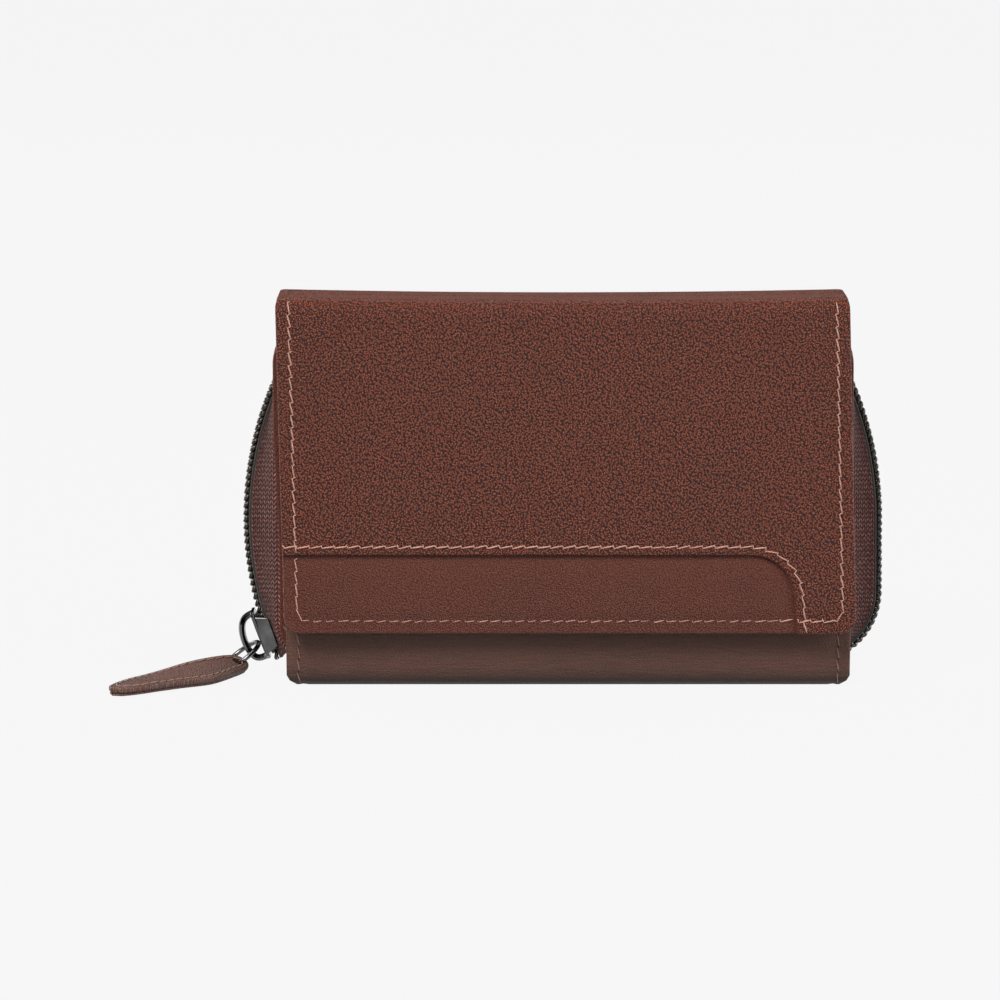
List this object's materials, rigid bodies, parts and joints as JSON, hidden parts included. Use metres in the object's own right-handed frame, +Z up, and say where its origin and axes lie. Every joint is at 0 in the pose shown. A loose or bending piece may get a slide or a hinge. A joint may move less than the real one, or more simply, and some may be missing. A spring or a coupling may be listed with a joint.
{
  "type": "zippered pouch",
  "caption": "Flap purse in brown leather with card slots under a snap flap, a zip-round rear compartment, a metal slider and a leather zip pull.",
  "frame": {"origin": "middle of the flat base that the purse stands on", "axes": "+X to the right along the flap, +Y to the back, +Z up"},
  "size_m": [0.1774, 0.0386, 0.09],
  "materials": {
    "brown_leather": "fine pebble grain, satin, brown",
    "smooth_leather": "smooth satin, reddish brown",
    "lining": "fine twill, dark brown",
    "board": "pressed fibre board",
    "zip_tape": "woven herringbone, burgundy",
    "zip_coil": "black nylon monofilament",
    "dark_metal": "polished black nickel"
  },
  "bodies": {
    "root": {"front_panel": "brown_leather", "front_panel_lining": "lining", "snap_stud": "dark_metal", "snap_stud_washer": "dark_metal", "card_slot_front": "smooth_leather", "card_slot_middle": "smooth_leather", "card_slot_rear": "smooth_leather", "card_back_panel": "brown_leather", "card_gusset_left": "smooth_leather", "card_gusset_right": "smooth_leather", "zip_front_panel": "brown_leather", "zip_tape_front": "zip_tape", "zip_coil_front": "zip_coil", "zip_end_stop": "dark_metal", "compartment_lining": "lining", "compartment_gusset_left": "lining", "compartment_gusset_right": "lining", "bottom_spine": "brown_leather"},
    "spine": {"flap_spine": "brown_leather", "spine_lining": "smooth_leather"},
    "flap": {"flap_outer": "brown_leather", "flap_lower_panel": "smooth_leather", "flap_board": "board", "flap_lining": "smooth_leather", "snap_socket": "dark_metal", "snap_socket_cap": "dark_metal"},
    "rear_cover": {"rear_panel": "brown_leather", "rear_stiffener": "board", "rear_lining": "lining", "zip_tape_rear": "zip_tape", "zip_coil_rear": "zip_coil", "slip_pocket": "lining"},
    "slider": {"slider": "dark_metal"},
    "ring": {"jump_ring": "dark_metal"},
    "pull_tab": {"pull_tab_top": "brown_leather", "pull_tab_bottom": "brown_leather"}
  },
  "joints": [
    {"name": "spine_hinge", "type": "hinge", "parent": "root", "child": "spine", "pos_m": [0, 0.00255, 0.09], "axis": [-1, 0, 0], "range_deg": [0, 100]},
    {"name": "flap_hinge", "type": "hinge", "parent": "spine", "child": "flap", "pos_m": [0, -0.0168, 0.08705], "axis": [-1, 0, 0], "range_deg": [0, 100]},
    {"name": "rear_hinge", "type": "hinge", "parent": "root", "child": "rear_cover", "pos_m": [0, 0.0162, 0.0012], "axis": [-1, 0, 0], "range_deg": [0, 80], "deforming": ["compartment_gusset_left", "compartment_gusset_right"]},
    {"name": "slider_travel", "type": "hinge", "parent": "root", "child": "slider", "pos_m": [0.0061, 0, 0.036], "axis": [0, 1, 0], "range_deg": [0, 30]},
    {"name": "ring_swing", "type": "hinge", "parent": "slider", "child": "ring", "pos_m": [-0.07184, 0.009, 0.00804], "axis": [0, 1, 0], "range_deg": [0, 75]},
    {"name": "tab_swing", "type": "hinge", "parent": "ring", "child": "pull_tab", "pos_m": [-0.07527, 0.009, 0.00454], "axis": [-0.7133, 0, 0.7009], "range_deg": [0, 18]}
  ],
  "couplings": [
    {"joint": "flap_hinge", "follows": "spine_hinge", "ratio": 1}
  ]
}
